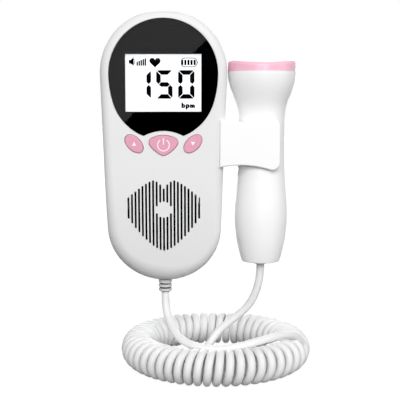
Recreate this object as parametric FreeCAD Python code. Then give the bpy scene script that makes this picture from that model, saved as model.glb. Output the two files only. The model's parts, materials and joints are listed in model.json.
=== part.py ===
"""Fetal doppler monitor: a hand unit, a probe held in its side clip and a curled cord.

Millimetres. +Z points up along the unit, +X to the probe's side and the display faces -Y.
The origin is the centre of the hand unit.
"""
import FreeCAD
import Part
import math
import os

V = FreeCAD.Vector

# ---- hand unit: outline seen from the front, as tangent arcs ----
top_z = 66.2
bottom_z = -67.75
crest_r = 60.0
crest_turn = 6.0
shoulder_r = 25.76
shoulder_turn = 38.4
flank_r = 30.5
bottom_r = 28.3

# ---- hand unit: depth ----
front_y = -14.0
back_y = 14.0
slope_start_z = -14.0
slope_r = 230.0
front_edge_r = 4.5
foot_edge_r = 11.0
foot_edge_power = 2.0
back_edge_r = 5.0
wall = 2.0
parting_y = 2.0
groove_width = 0.3
groove_depth = 0.5

# ---- display recess, lens and mask ----
panel_centre_z = 36.1
panel_r = 26.7
panel_side_r = 48.6
panel_side_drop = 14.6
cusp_x = 9.7
cusp_z = 5.8
notch_z = 8.3
lens_set_back = 0.3
lens_thickness = 0.8
lens_gap = 0.15
mask_thickness = 0.15

# ---- display ----
view_z = 31.6
view_width = 36.9
view_height = 27.7
view_margin = 0.4
glass_width = 42.0
glass_height = 33.0
glass_thickness = 1.8
backlight_thickness = 2.5
holder_wall = 1.4
seat_gap = 0.1

# ---- buttons ----
side_button_x = 14.35
side_button_z = 2.15
side_button_length = 10.7
side_button_width = 6.5
side_button_tilt = 45.0
power_corner_x = 4.65
power_corner_z = 2.75
power_corner_r = 2.4
power_tip_z = -1.2
power_tip_r = 2.4
power_top_bow_r = 12.5
power_side_bow_r = 15.0
button_proud = 0.6
button_gap = 0.25
button_flange = 0.8
button_edge_r = 0.4
button_travel = 0.8
button_stop_gap = 0.05

# ---- circuit board and what stands on it ----
board_front_y = -6.0
board_thickness = 1.6
board_edge_gap = 1.0
board_bottom_z = -8.0
board_top_z = 62.0
pillar_gap = 0.4
chip_height = 1.4
processor_size = 12.0
processor_x = -9.0
processor_z = 34.0
amplifier_length = 9.0
amplifier_width = 6.0
amplifier_x = 10.0
amplifier_z = 26.0
capacitor_r = 2.5
capacitor_height = 6.0
capacitor_x = 16.0
capacitor_z = (38.0, 44.0)
coil_size = 5.0
coil_height = 3.0
coil_x = -8.0
coil_z = (10.0, 17.0)
plug_width = 10.0
plug_depth = 5.0
plug_height = 4.0
plug_x = 6.0
plug_z = 6.0
switch_size = 6.0
plunger_r = 1.6
plunger_height = 1.0

# ---- screws ----
pillar_r = 3.2
upper_pillar = (13.5, 56.2)
lower_pillar = (23.4, -27.0)
screw_head_r = 2.3
screw_head_height = 1.8
screw_r = 1.2
screw_bite = 8.0
screw_clearance = 0.15
head_seat_y = 6.0
head_well_gap = 0.35
cross_length = 2.6
cross_width = 0.6
cross_depth = 0.9
boss_r = 2.0
board_screw_r = 0.8
board_head_r = 1.5
board_head_height = 1.0
board_screw_bite = 3.6
board_boss = ((18.0, 52.0), (24.3, 8.5))

# ---- loudspeaker and its heart-shaped grille ----
speaker_z = -33.0
speaker_r = 18.0
speaker_fit = 0.3
collar_wall = 1.2
collar_back_y = -6.5
speaker_front_y = -8.6
speaker_rim = 2.2
speaker_rim_depth = 1.4
basket_wall = 0.8
magnet_r = 9.0
magnet_depth = 2.2
speaker_back_y = -4.5
cone_wall = 0.4
dome_r = 5.0
cloth_thickness = 0.3
grille_wall = 1.0
slot_pitch = 1.736
slot_width = 1.0
slot_reach = 10
lobe_x = 5.2
lobe_z = -15.7
lobe_outer_rate = 0.3325
lobe_outer_power = 1.293
lobe_inner_rate = 0.2416
lobe_inner_power = 1.71
heart_tip_z = -51.25
heart_side_rate = 0.2069
heart_side_power = 1.533
blank_z = -30.3
blank_r = 3.87

# ---- battery bay, cells, contacts and sliding door ----
cell_r = 7.15
cell_length = 49.5
cell_nub_r = 2.7
cell_nub_height = 1.0
cell_x = 7.6
cell_y = 4.5
bay_wall = 1.0
bay_side_gap = 0.45
bay_floor_y = -4.2
bay_bottom_z = -57.0
cell_end_gap = 0.5
bay_back_gap = 0.3
spring_wire_r = 0.45
spring_r = (3.4, 2.4)
contact_width = 9.0
contact_thickness = 0.3
door_half_width = 17.0
door_over_bay = 5.6
door_lip_y = 6.0
door_gap = 0.2
door_tongue_width = 8.0
door_tongue_length = 2.4
door_tongue_thickness = 0.9
grip_count = 5
grip_width = 12.0
grip_height = 0.7
grip_depth = 0.5
grip_pitch = 1.6
grip_drop = 4.0

# ---- earphone socket in the top edge ----
socket_bore_r = 1.8
socket_bore_length = 14.0
socket_barrel_r = 2.9
socket_body_width = 6.4
socket_body_depth = 6.0
socket_body_top_z = 63.9
socket_bottom_z = 50.4
socket_hole_gap = 0.15
socket_inset = 0.3

# ---- strain relief under the unit ----
relief_r = 3.35
relief_end_z = -73.9
relief_taper = 0.5
relief_neck_r = 2.7
relief_flange_r = 4.4
relief_flange_height = 2.0
relief_notch_z = (-70.2, -72.3)
relief_notch_height = (0.8, 0.8)
relief_notch_depth = 0.7
relief_window = 1.1
relief_window_x = 1.75
relief_gap = 0.1

# ---- clip on the unit's right side ----
clip_root_sink = 3.7
clip_neck_back = 12.0
clip_tip_reach = 8.4
clip_root_top_z = 13.9
clip_root_bottom_z = -9.6
clip_neck_top_z = 12.9
clip_neck_bottom_z = -8.5
clip_tip_top_z = 14.2
clip_tip_bottom_z = -11.0
clip_corner_r = 4.0
clip_edge_r = 0.8
finger_thickness = 2.0
probe_side_gap = 0.35
clip_seat_gap = 0.08
tongue_half_height = 6.0
tongue_thickness = 2.2
tongue_head_thickness = 1.4
tongue_head_depth = 5.0
tongue_gap = 0.12
lock_gap = 0.12

# ---- probe ----
probe_unit_gap = 0.56
probe_base_z = -57.8
probe_neck_z = 37.5
probe_head_r = 16.9
probe_waist_r = 11.6
head_flare = ((0.962, 34.6), (0.62, 27.4), (0.12, 19.8), (0.0, 11.0), (0.0, 0.0))
probe_grip = ((12.15, -18.0), (13.2, -33.0), (12.3, -46.0), (9.6, -57.45))
probe_base_r = 9.3
probe_wall = 1.8
ring_top_z = 43.8
ring_wall = 2.8
ring_round = 1.7
ring_skirt_length = 3.4
ring_skirt_wall = 1.2
ring_fit = 0.1
saddle_r = 66.0
saddle_dip = 2.2
face_z = 39.2
face_thickness = 1.8
face_ledge = 1.0
face_fit = 0.1
crystal_r = 9.5
crystal_thickness = 1.0
crystal_gap = 1.2
backing_side_gap = 1.05
backing_thickness = 5.0
probe_board_length = 34.0
probe_board_top_z = 26.0
probe_board_fit = 0.2
end_cap_thickness = 2.0
end_cap_gap = 0.1
probe_relief_r = 3.2
probe_relief_drop = 1.4
probe_relief_flange_r = 4.6
probe_relief_flange_height = 1.2
probe_relief_length = 9.0

# ---- cord ----
cord_d = 4.0
arc_share = 0.45
curl_centre = (25.9, 8.0, -104.6)
curl_ring_r = 40.2
curl_outer_r = 8.95
unit_tail = ((0.0, 2.0, -73.9), (0.0, 2.0, -80.9), (1.6, -1.6, -88.2), (6.6, -12.4, -95.2),
             (16.8, -21.0, -97.9), (27.8, -23.4, -98.3), (39.0, -23.0, -96.1),
             (49.4, -20.6, -93.6), (58.6, -15.2, -92.6), (65.8, -8.8, -94.5),
             (70.3, -3.2, -100.0))
probe_tail = ((48.6, 0.0, -59.25), (48.6, 0.0, -65.0), (46.8, 0.9, -73.6), (43.2, 2.4, -81.6),
              (35.6, 4.2, -88.8), (27.6, 5.0, -95.2), (22.0, 2.2, -102.8),
              (16.3, -6.2, -109.0), (17.3, -15.2, -111.5), (23.7, -21.6, -111.5),
              (32.9, -23.4, -111.5), (41.5, -20.2, -111.5), (49.3, -14.4, -111.5),
              (55.9, -7.2, -111.5), (61.5, 1.0, -111.5))

# ---- lengths used only to make tools reach past what they cut ----
past = 30.0


def save(name, shape):
    """Write one node; its file name is the node's name."""
    if not shape.isValid():
        print("not valid:", name)
    shape.exportStep("parts/" + name + ".step")
    box = shape.BoundBox
    print("%-20s solids %2d  volume %9.1f  z %7.2f to %7.2f"
          % (name, len(shape.Solids), shape.Volume, box.ZMin, box.ZMax))


def box(x0, x1, y0, y1, z0, z1):
    return Part.makeBox(x1 - x0, y1 - y0, z1 - z0, V(x0, y0, z0))


def rod_y(x, z, r, y0, y1):
    return Part.makeCylinder(r, y1 - y0, V(x, y0, z), V(0, 1, 0))


def rod_z(x, y, r, z0, z1):
    return Part.makeCylinder(r, z1 - z0, V(x, y, z0), V(0, 0, 1))


def line(a, b):
    return Part.LineSegment(a, b).toShape()


def arc(a, middle, b):
    return Part.Arc(a, middle, b).toShape()


def both(places):
    """Places given for the right side, and the same on the left."""
    return [(side * x, z) for x, z in places for side in (1, -1)]


def prism(wire, y0, y1):
    face = Part.Face(wire)
    face.translate(V(0, y0, 0))
    return face.extrude(V(0, y1 - y0, 0))


def spin_y(points, z):
    """Solid of revolution about the Y line through (0, z); points are (radius, y)."""
    corners = [V(r, y, z) for r, y in points]
    edges = [line(a, b) for a, b in zip(corners, corners[1:] + corners[:1])]
    return Part.Face(Part.Wire(edges)).revolve(V(0, 0, z), V(0, 1, 0), 360)


def on_circle(centre, r, turn):
    """Point on a circle in the XZ plane, with the turn counted from +Z towards +X."""
    return V(centre.x + r * math.sin(turn), 0, centre.z + r * math.cos(turn))


def upper_centres():
    """Centres of the crest, shoulder and flank arcs on the right."""
    crest = V(0, 0, top_z - crest_r)
    shoulder = on_circle(crest, crest_r - shoulder_r, math.radians(crest_turn))
    flank = on_circle(shoulder, shoulder_r - flank_r, math.radians(shoulder_turn))
    return crest, shoulder, flank


def unit_half_width():
    return upper_centres()[2].x + flank_r


def probe_x():
    """The probe's axis: its head stands beside the widest part of the unit."""
    return unit_half_width() + probe_unit_gap + probe_head_r


def unit_outline(inset):
    """Outline of the hand unit, drawn in by inset along its normals."""
    first = math.radians(crest_turn)
    second = math.radians(shoulder_turn)
    crest, shoulder, flank = upper_centres()
    foot = V(0, 0, bottom_z + bottom_r)
    third = tangent_turn(flank, flank_r, foot, bottom_r)
    right = []
    stops = ((crest, crest_r, 0.0, first), (shoulder, shoulder_r, first, second),
             (flank, flank_r, second, third), (foot, bottom_r, third, math.pi))
    for centre, r, start, end in stops:
        points = [on_circle(centre, r - inset, start + (end - start) * share)
                  for share in (0.0, 0.5, 1.0)]
        right.append(points)
    edges = []
    for side in (1, -1):
        chain = [[V(side * p.x, 0, p.z) for p in points] for points in right]
        edges += [arc(*points) for points in chain]
        edges.append(line(chain[2][2], chain[3][0]))
    return Part.Wire(Part.__sortEdges__(edges))


def tangent_turn(a, a_r, b, b_r):
    """Turn from +Z of the outer normal at which one line touches both circles on the right."""
    dx = b.x - a.x
    dz = b.z - a.z
    span = math.hypot(dx, dz)
    heading = math.atan2(dx, dz)
    return (heading - math.acos((a_r - b_r) / span)) % (2 * math.pi)


def unit_body(inset):
    """The hand unit's solid, drawn in all round by inset."""
    body = prism(unit_outline(inset), front_y + inset, back_y - inset)
    body = body.common(depth_profile(inset))
    front = round_front(body, inset)
    return front.makeFillet(back_edge_r - inset, rim(front, lambda y: y > parting_y))


def depth_profile(inset):
    """Side view of the unit: flat back, and a front that slopes back towards the foot."""
    near = front_y + inset
    far = back_y - inset
    r = slope_r - inset
    low_z = bottom_z - past / 2
    axis_y = front_y + slope_r
    turn = math.asin((slope_start_z - low_z) / r)
    middle = V(-past * 2, axis_y - r * math.cos(turn / 2), slope_start_z - r * math.sin(turn / 2))
    low = V(-past * 2, axis_y - r * math.cos(turn), low_z)
    start = V(-past * 2, near, slope_start_z)
    corners = [V(-past * 2, far, low_z), V(-past * 2, far, top_z + past),
               V(-past * 2, near, top_z + past), start]
    edges = [line(low, corners[0])]
    edges += [line(a, b) for a, b in zip(corners, corners[1:])]
    edges.append(arc(start, middle, low))
    return Part.Face(Part.Wire(edges)).extrude(V(past * 4, 0, 0))


def rim(body, is_wanted):
    """Edges between the unit's sides and its front or back."""
    faces = [f for f in body.Faces if faces_y(f) and is_wanted(f.CenterOfMass.y)]
    edges = [e for f in faces for e in f.Edges]
    return [e for e in edges if sum(e.isSame(other) for other in edges) == 1]


def edge_r_at(z):
    """The front's rounding at a height: even above the slope, and growing towards the foot."""
    share = max(0.0, slope_start_z - z) / (slope_start_z - bottom_z)
    return front_edge_r + (foot_edge_r - front_edge_r) * share ** foot_edge_power


def round_front(body, inset):
    """Round the front rim, with more rounding the lower it is."""
    wanted = rim(body, lambda y: y < parting_y)
    sizes = []
    for place, edge in enumerate(body.Edges, 1):
        if any(edge.isSame(other) for other in wanted):
            first = edge.valueAt(edge.FirstParameter).z
            last = edge.valueAt(edge.LastParameter).z
            sizes.append((place, edge_r_at(first) - inset, edge_r_at(last) - inset))
    bench = FreeCAD.newDocument()
    blank = bench.addObject("Part::Feature", "blank")
    blank.Shape = body
    rounded = bench.addObject("Part::Fillet", "rounded")
    rounded.Base = blank
    rounded.Edges = sizes
    bench.recompute()
    shape = rounded.Shape.copy()
    FreeCAD.closeDocument(bench.Name)
    return shape


def faces_y(face):
    """Whether a face looks mainly forwards or back."""
    u0, u1, v0, v1 = face.ParameterRange
    normal = face.normalAt((u0 + u1) / 2, (v0 + v1) / 2)
    return abs(normal.y) > 0.8


def panel_outline(inset):
    """Outline of the display recess: a round head, drawn-in sides, and a notch above the buttons."""
    side_turn = math.asin(panel_side_drop / panel_side_r)
    side_centre = V(panel_r - panel_side_r, 0, panel_centre_z)
    quarter = math.pi / 2
    head = V(0, 0, panel_centre_z)
    end = on_circle(side_centre, panel_side_r, quarter + side_turn)
    normal = on_circle(V(0, 0, 0), 1.0, quarter + side_turn)
    step = V(cusp_x - end.x, 0, cusp_z - end.z)
    jaw_r = -step.dot(step) / (2 * step.dot(normal))
    jaw = end - normal * jaw_r
    jaw_start = quarter + side_turn
    jaw_end = math.atan2(cusp_x - jaw.x, cusp_z - jaw.z)
    jaw_turns = (jaw_start, (jaw_start + jaw_end) / 2, jaw_end)
    side_turns = (quarter, quarter + side_turn / 2, jaw_start)
    jaw_points = [on_circle(jaw, jaw_r - inset, turn) for turn in jaw_turns]
    side_points = [on_circle(side_centre, panel_side_r - inset, turn) for turn in side_turns]
    edges = [arc(on_circle(head, panel_r - inset, -quarter), V(0, 0, panel_centre_z + panel_r - inset),
                 on_circle(head, panel_r - inset, quarter))]
    for side in (1, -1):
        for points in (side_points, jaw_points):
            edges.append(arc(*[V(side * p.x, 0, p.z) for p in points]))
    tip = jaw_points[2]
    edges.append(arc(tip, V(0, 0, notch_z + inset), V(-tip.x, 0, tip.z)))
    return Part.Wire(Part.__sortEdges__(edges))


def side_button_outline(side, grow):
    """Tilted oval of a volume button; its upper end leans outwards."""
    oval = Part.Ellipse(V(0, 0, 0), side_button_length / 2 + grow, side_button_width / 2 + grow)
    wire = Part.Wire([oval.toShape()])
    wire.rotate(V(0, 0, 0), V(1, 0, 0), 90)
    wire.rotate(V(0, 0, 0), V(0, 1, 0), -side * side_button_tilt)
    wire.translate(V(side * side_button_x, 0, side_button_z))
    return wire


def bowed_side(a, a_r, b, b_r, r):
    """Ends and middle of the arc of radius r that encloses and touches two corner circles."""
    step = b - a
    along = ((r - a_r) ** 2 - (r - b_r) ** 2 + step.Length ** 2) / (2 * step.Length)
    across = math.sqrt((r - a_r) ** 2 - along ** 2)
    step.normalize()
    centre = a + step * along + V(step.z, 0, -step.x) * across
    start = a + (a - centre).normalize() * a_r
    end = b + (b - centre).normalize() * b_r
    middle = centre + (start + end - centre * 2).normalize() * r
    return start, middle, end


def power_button_outline(grow):
    """Rounded triangle of the power button, point down, with bowed sides."""
    corners = [V(-power_corner_x, 0, power_corner_z), V(power_corner_x, 0, power_corner_z),
               V(0, 0, power_tip_z)]
    radii = [power_corner_r + grow, power_corner_r + grow, power_tip_r + grow]
    sides = []
    for i, bow_r in enumerate((power_top_bow_r, power_side_bow_r, power_side_bow_r)):
        j = (i + 1) % len(corners)
        sides.append(bowed_side(corners[i], radii[i], corners[j], radii[j], bow_r + grow))
    edges = [arc(*side) for side in sides]
    for i, corner in enumerate(corners):
        start = sides[i - 1][2]
        end = sides[i][0]
        outward = (start + end - corner * 2).normalize()
        edges.append(arc(start, corner + outward * radii[i], end))
    return Part.Wire(Part.__sortEdges__(edges))


def button_outlines(grow):
    """The three button outlines by node name."""
    return {"volume_up_button": side_button_outline(-1, grow),
            "power_button": power_button_outline(grow),
            "volume_down_button": side_button_outline(1, grow)}


def heart_top(x):
    """Upper end of a grille slot at x."""
    if x > lobe_x:
        return lobe_z - lobe_outer_rate * (x - lobe_x) ** lobe_outer_power
    return lobe_z - lobe_inner_rate * (lobe_x - x) ** lobe_inner_power


def heart_bottom(x):
    """Lower end of a grille slot at x."""
    return heart_tip_z + heart_side_rate * x ** heart_side_power


def slot(x, low, high):
    """Round-ended upright slot through the front wall."""
    r = slot_width / 2
    y0 = front_y - past
    middle = box(x - r, x + r, y0, parting_y, low + r, high - r)
    ends = [rod_y(x, z, r, y0, parting_y) for z in (low + r, high - r)]
    return middle.fuse(ends)


def grille_slots():
    """All slots of the grille, cut short around the blank disc."""
    slots = []
    for step in range(-slot_reach, slot_reach + 1):
        x = step * slot_pitch
        low = heart_bottom(abs(x))
        high = heart_top(abs(x))
        if abs(x) >= blank_r:
            slots.append(slot(x, low, high))
            continue
        half = math.sqrt(blank_r ** 2 - x ** 2)
        slots.append(slot(x, low, blank_z - half))
        slots.append(slot(x, blank_z + half, high))
    return slots


def view_box(margin, y0, y1):
    """Block over the display's visible area, grown by margin."""
    return box(-view_width / 2 - margin, view_width / 2 + margin, y0, y1,
               view_z - view_height / 2 - margin, view_z + view_height / 2 + margin)


def ring_y(x, z, outer, inner, y0, y1):
    return rod_y(x, z, outer, y0, y1).cut(rod_y(x, z, inner, y0, y1))


def parting_groove():
    """Shadow line around the unit where the covers meet."""
    outer = prism(unit_outline(-past / 10), parting_y - groove_width, parting_y)
    return outer.cut(prism(unit_outline(groove_depth), parting_y - groove_width, parting_y))


def front_cover(outer, cavity):
    floor_y = front_y + lens_set_back + lens_thickness + mask_thickness
    half = box(-past * 2, past * 2, front_y - past, parting_y, bottom_z - past, top_z + past)
    inside_y = front_y + wall
    bosses = [rod_y(x, z, boss_r, inside_y - wall / 2, board_front_y) for x, z in both(board_boss)]
    pillars = [rod_y(x, z, pillar_r, inside_y - wall / 2, parting_y)
               for x, z in both([upper_pillar, lower_pillar])]
    collar = ring_y(0, speaker_z, speaker_r + speaker_fit + collar_wall, speaker_r + speaker_fit,
                    front_y + wall / 2, collar_back_y)
    pillars = [p.cut(rod_y(0, speaker_z, speaker_r + speaker_fit, front_y, back_y)) for p in pillars]
    added = collar.fuse(bosses + pillars).common(unit_body(wall / 2))
    cover = outer.cut(cavity).common(half).fuse(added)
    cuts = [prism(panel_outline(0), front_y - past, floor_y), view_box(view_margin, front_y, board_front_y),
            parting_groove(), relief_hole(), clip_slot(), socket_hole(), grille_pocket()]
    cuts += [prism(wire, front_y - past, inside_y) for wire in button_outlines(button_gap).values()]
    cuts += grille_slots()
    cuts += [rod_y(x, z, screw_r, parting_y - screw_bite, parting_y)
             for x, z in both([upper_pillar, lower_pillar])]
    cuts += [rod_y(x, z, board_screw_r, board_front_y - board_screw_bite, board_front_y)
             for x, z in both(board_boss)]
    return cover.cut(cuts).removeSplitter()


def door_block(gap):
    """Space that the sliding door takes out of the rear cover."""
    return box(-door_half_width - gap, door_half_width + gap, door_lip_y - gap, back_y + past,
               bottom_z - past, door_top_z() + gap)


def spring_height():
    return 2 * spring_wire_r * len(spring_r)


def bay_top_z():
    """Roof of the bay, as far up as the cells and their contacts need."""
    return bay_bottom_z + 2 * contact_thickness + spring_height() + cell_length + cell_end_gap


def door_top_z():
    return bay_top_z() + door_over_bay


def battery_bay():
    """Open-backed tray that holds the two cells, moulded with the rear cover."""
    half = cell_x + cell_r + bay_side_gap
    back = back_y - wall - bay_back_gap
    outside = box(-half - bay_wall, half + bay_wall, bay_floor_y, back,
                  bay_bottom_z - bay_wall, bay_top_z() + bay_wall)
    inside = box(-half, half, bay_floor_y + bay_wall, back_y, bay_bottom_z, bay_top_z())
    return outside.cut([inside, door_tongue(door_gap, bay_top_z())])


def door_tongue(grow, low_z):
    """Tongue of the sliding door, behind the back wall, or the room it slides through."""
    half = door_tongue_width / 2 + grow
    top = back_y - wall - door_gap
    return box(-half, half, top - door_tongue_thickness - grow, top + grow, low_z,
               door_top_z() + door_tongue_length)


def bay_ties():
    """Webs that join the tray's sides to the back wall beside the door."""
    half = cell_x + cell_r + bay_side_gap
    back = back_y - wall / 2
    ties = []
    for side in (1, -1):
        x0, x1 = sorted((side * half, side * (door_half_width + wall * 2)))
        web_z = (bay_top_z() - wall, (bay_top_z() + bay_bottom_z) / 2)
        ties += [box(x0, x1, parting_y, back, z - bay_wall, z) for z in web_z]
    return [tie.cut(door_block(door_gap)) for tie in ties]


def rear_cover(outer, cavity):
    half = box(-past * 2, past * 2, parting_y, back_y + past, bottom_z - past, top_z + past)
    places = both([upper_pillar, lower_pillar])
    pillars = [rod_y(x, z, pillar_r, parting_y, back_y - wall / 2) for x, z in places]
    bay = battery_bay().common(unit_body(wall + door_gap))
    added = bay.fuse(bay_ties() + pillars).common(unit_body(wall / 2))
    shell = outer.cut(cavity).common(half).cut(door_block(door_gap))
    cover = shell.fuse(added)
    cuts = [relief_hole(), clip_slot()]
    cuts += [rod_y(x, z, screw_r + screw_clearance, parting_y - past, back_y) for x, z in places]
    cuts += [rod_y(x, z, screw_head_r + head_well_gap, head_seat_y, back_y + past) for x, z in places]
    return cover.cut(cuts).removeSplitter()


def battery_cover(outer, cavity):
    """Sliding door: the back wall over the bay and the corner of the foot below it."""
    door = outer.cut(cavity).common(door_block(0))
    half = door_tongue_width / 2
    top = door_top_z()
    tongue = door_tongue(0, top - wall)
    neck = box(-half, half, tongue.BoundBox.YMin, back_y - wall / 2, top - wall, top)
    grip_tops = [top - grip_drop - i * grip_pitch for i in range(grip_count)]
    grips = [box(-grip_width / 2, grip_width / 2, back_y - grip_depth, back_y + past, z - grip_height, z)
             for z in grip_tops]
    return door.fuse([tongue, neck]).cut(grips).removeSplitter()


def cross_cut(x, z, y, length, width, depth):
    """Cross recess in a screw head whose top is at y."""
    across = box(x - length / 2, x + length / 2, y - depth, y + past, z - width / 2, z + width / 2)
    upright = box(x - width / 2, x + width / 2, y - depth, y + past, z - length / 2, z + length / 2)
    return across.fuse(upright)


def screw(x, z, seat_y, tip_y, r, head_r, head_height):
    """Pan-head screw driven from the back; seat_y is under its head."""
    top = seat_y + head_height
    body = rod_y(x, z, head_r, seat_y, top).fuse(rod_y(x, z, r, tip_y, seat_y))
    scale = head_r / screw_head_r
    return body.cut(cross_cut(x, z, top, cross_length * scale, cross_width * scale,
                              cross_depth * scale)).removeSplitter()


def housing_screws():
    tip_y = parting_y - screw_bite + seat_gap
    return [screw(x, z, head_seat_y, tip_y, screw_r, screw_head_r, screw_head_height)
            for x, z in both([upper_pillar, lower_pillar])]


def board_screws():
    seat_y = board_front_y + board_thickness
    tip_y = board_front_y - board_screw_bite + seat_gap
    return [screw(x, z, seat_y, tip_y, board_screw_r, board_head_r, board_head_height)
            for x, z in both(board_boss)]


def display_window():
    near = front_y + lens_set_back
    return prism(panel_outline(lens_gap), near, near + lens_thickness)


def window_mask():
    near = front_y + lens_set_back + lens_thickness
    return prism(panel_outline(lens_gap), near, near + mask_thickness).cut(
        view_box(0, near - past, near + past))


def glass_box(grow, y0, y1):
    return box(-glass_width / 2 - grow, glass_width / 2 + grow, y0, y1,
               view_z - glass_height / 2 - grow, view_z + glass_height / 2 + grow)


def lcd_frame():
    near = front_y + wall
    block = glass_box(seat_gap + holder_wall, near, board_front_y).common(unit_body(wall + seat_gap))
    return block.cut(glass_box(seat_gap, near - past, board_front_y + past))


def lcd_panel():
    near = front_y + wall + seat_gap
    return glass_box(0, near, near + glass_thickness)


def backlight():
    near = front_y + wall + seat_gap + glass_thickness
    return glass_box(0, near, near + backlight_thickness)


def main_board():
    back = board_front_y + board_thickness
    board = prism(unit_outline(wall + board_edge_gap), board_front_y, back)
    board = board.common(box(-past * 2, past * 2, board_front_y, back, board_bottom_z, board_top_z))
    holes = [rod_y(x, z, pillar_r + pillar_gap, board_front_y, back) for x, z in both([upper_pillar])]
    holes += [rod_y(x, z, board_screw_r + screw_clearance, board_front_y, back)
              for x, z in both(board_boss)]
    return board.cut(holes)


def on_board_back(x, z, width, height, depth):
    """Block on the back of the board, centred at (x, z)."""
    y = board_front_y + board_thickness
    return box(x - width / 2, x + width / 2, y, y + depth, z - height / 2, z + height / 2)


def board_parts():
    """Capacitors, coils and the cord's plug on the back of the board."""
    y = board_front_y + board_thickness
    cans = [rod_y(capacitor_x, z, capacitor_r, y, y + capacitor_height) for z in capacitor_z]
    coils = [on_board_back(coil_x, z, coil_size, coil_size, coil_height) for z in coil_z]
    plug = on_board_back(plug_x, plug_z, plug_width, plug_height, plug_depth)
    return cans + coils + [plug]


def button_centres():
    return ((-side_button_x, side_button_z), (side_button_x, side_button_z),
            (0.0, (power_corner_z + power_tip_z) / 2))


def switch_top_y():
    """Front of a switch's plunger, just behind a pressed button."""
    return front_y + wall + seat_gap + button_flange + button_travel + button_stop_gap


def tact_switches():
    """Three switches on the front of the board, one behind each button."""
    top = switch_top_y()
    half = switch_size / 2
    switches = []
    for x, z in button_centres():
        case = box(x - half, x + half, top + plunger_height, board_front_y, z - half, z + half)
        switches.append(case.fuse(rod_y(x, z, plunger_r, top, top + plunger_height)).removeSplitter())
    return switches


def button(name):
    """Cap that stands proud of the cover, with a flange that holds it in."""
    flange_y = front_y + wall + seat_gap
    cap = prism(button_outlines(0)[name], front_y - button_proud, flange_y)
    faces = [f for f in cap.Faces if faces_y(f) and f.CenterOfMass.y < front_y]
    cap = cap.makeFillet(button_edge_r, faces[0].Edges)
    flange = prism(button_outlines(button_flange)[name], flange_y, flange_y + button_flange)
    return cap.fuse(flange).removeSplitter()


def speaker_frame():
    """Basket with a flat rim in front and a cup behind that holds the magnet."""
    r = speaker_r
    rim_back = speaker_front_y + speaker_rim_depth
    cup_front = speaker_back_y - magnet_depth - basket_wall
    points = ((r - speaker_rim, speaker_front_y), (r, speaker_front_y), (r, rim_back),
              (magnet_r + basket_wall, cup_front + basket_wall), (0, cup_front + basket_wall),
              (0, cup_front), (magnet_r, cup_front), (r - speaker_rim, rim_back - basket_wall / 2))
    return spin_y(points, speaker_z)


def speaker_magnet():
    near = speaker_back_y - magnet_depth
    return rod_y(0, speaker_z, magnet_r, near, speaker_back_y)


def speaker_cone():
    """Paper cone with a dome in the middle, glued inside the rim."""
    r = speaker_r - speaker_rim
    front = speaker_front_y
    deep = speaker_back_y - magnet_depth - basket_wall - cone_wall - seat_gap
    points = ((r, front), (r, front + cone_wall), (dome_r, deep + cone_wall), (0, deep),
              (0, deep - cone_wall), (dome_r, deep))
    return spin_y(points, speaker_z)


def grille_pocket():
    """Round pocket behind the grille that leaves a thin wall for the slots."""
    return unit_body(grille_wall).common(rod_y(0, speaker_z, speaker_r, front_y, speaker_front_y))


def grille_cloth():
    """Dust cloth on the inside of the grille, which follows the curved wall."""
    skin = grille_pocket().cut(unit_body(grille_wall + cloth_thickness))
    return skin.common(rod_y(0, speaker_z, speaker_r - seat_gap, front_y, speaker_front_y))


def cell(side):
    """One AA cell; the two lie head to foot."""
    up = cell_length - cell_nub_height
    z0 = bay_bottom_z + contact_thickness + spring_height()
    nub_z = z0 + up
    x = side * cell_x
    body = rod_z(x, cell_y, cell_r, z0, nub_z)
    body = body.fuse(rod_z(x, cell_y, cell_nub_r, nub_z, nub_z + cell_nub_height)).removeSplitter()
    if side < 0:
        middle = (bay_bottom_z + bay_top_z()) / 2
        body.rotate(V(x, cell_y, middle), V(1, 0, 0), 180)
    return body


def battery_springs():
    """Coil contacts at the cells' flat ends, drawn as closed turns."""
    springs = []
    for side in (1, -1):
        base = bay_bottom_z + contact_thickness
        x = side * cell_x
        rise = spring_wire_r * math.sqrt(3)
        turns = [Part.makeTorus(spring_r[i], spring_wire_r, V(x, cell_y, base + spring_wire_r + i * rise))
                 for i in range(2)]
        if side < 0:
            middle = (bay_bottom_z + bay_top_z()) / 2
            for turn in turns:
                turn.rotate(V(x, cell_y, middle), V(1, 0, 0), 180)
        springs += turns
    return springs


def battery_plates():
    """Flat contacts against both end walls of the bay."""
    half = contact_width / 2
    plates = []
    for side in (1, -1):
        x = side * cell_x
        for z in (bay_bottom_z, bay_top_z() - contact_thickness):
            plates.append(box(x - half, x + half, cell_y - half, cell_y + half, z, z + contact_thickness))
    return plates


def socket_axis_y():
    return board_front_y + board_thickness + socket_body_depth / 2


def socket_hole():
    r = socket_barrel_r + socket_hole_gap
    return rod_z(0, socket_axis_y(), r, socket_body_top_z - wall, top_z + past)


def earphone_socket():
    """Socket body on the board with its barrel in the hole of the top edge."""
    y = socket_axis_y()
    half = socket_body_width / 2
    body = box(-half, half, y - socket_body_depth / 2, y + socket_body_depth / 2, socket_bottom_z,
               socket_body_top_z)
    mouth_z = top_z - socket_inset
    barrel = rod_z(0, y, socket_barrel_r, socket_body_top_z, mouth_z)
    bore = rod_z(0, y, socket_bore_r, mouth_z - socket_bore_length, mouth_z)
    return body.fuse(barrel).cut(bore).removeSplitter()


def relief_hole():
    """Round hole through the foot, half in each cover."""
    return rod_z(0, parting_y, relief_neck_r + relief_gap, bottom_z - past, bottom_z + wall * 2)


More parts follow.
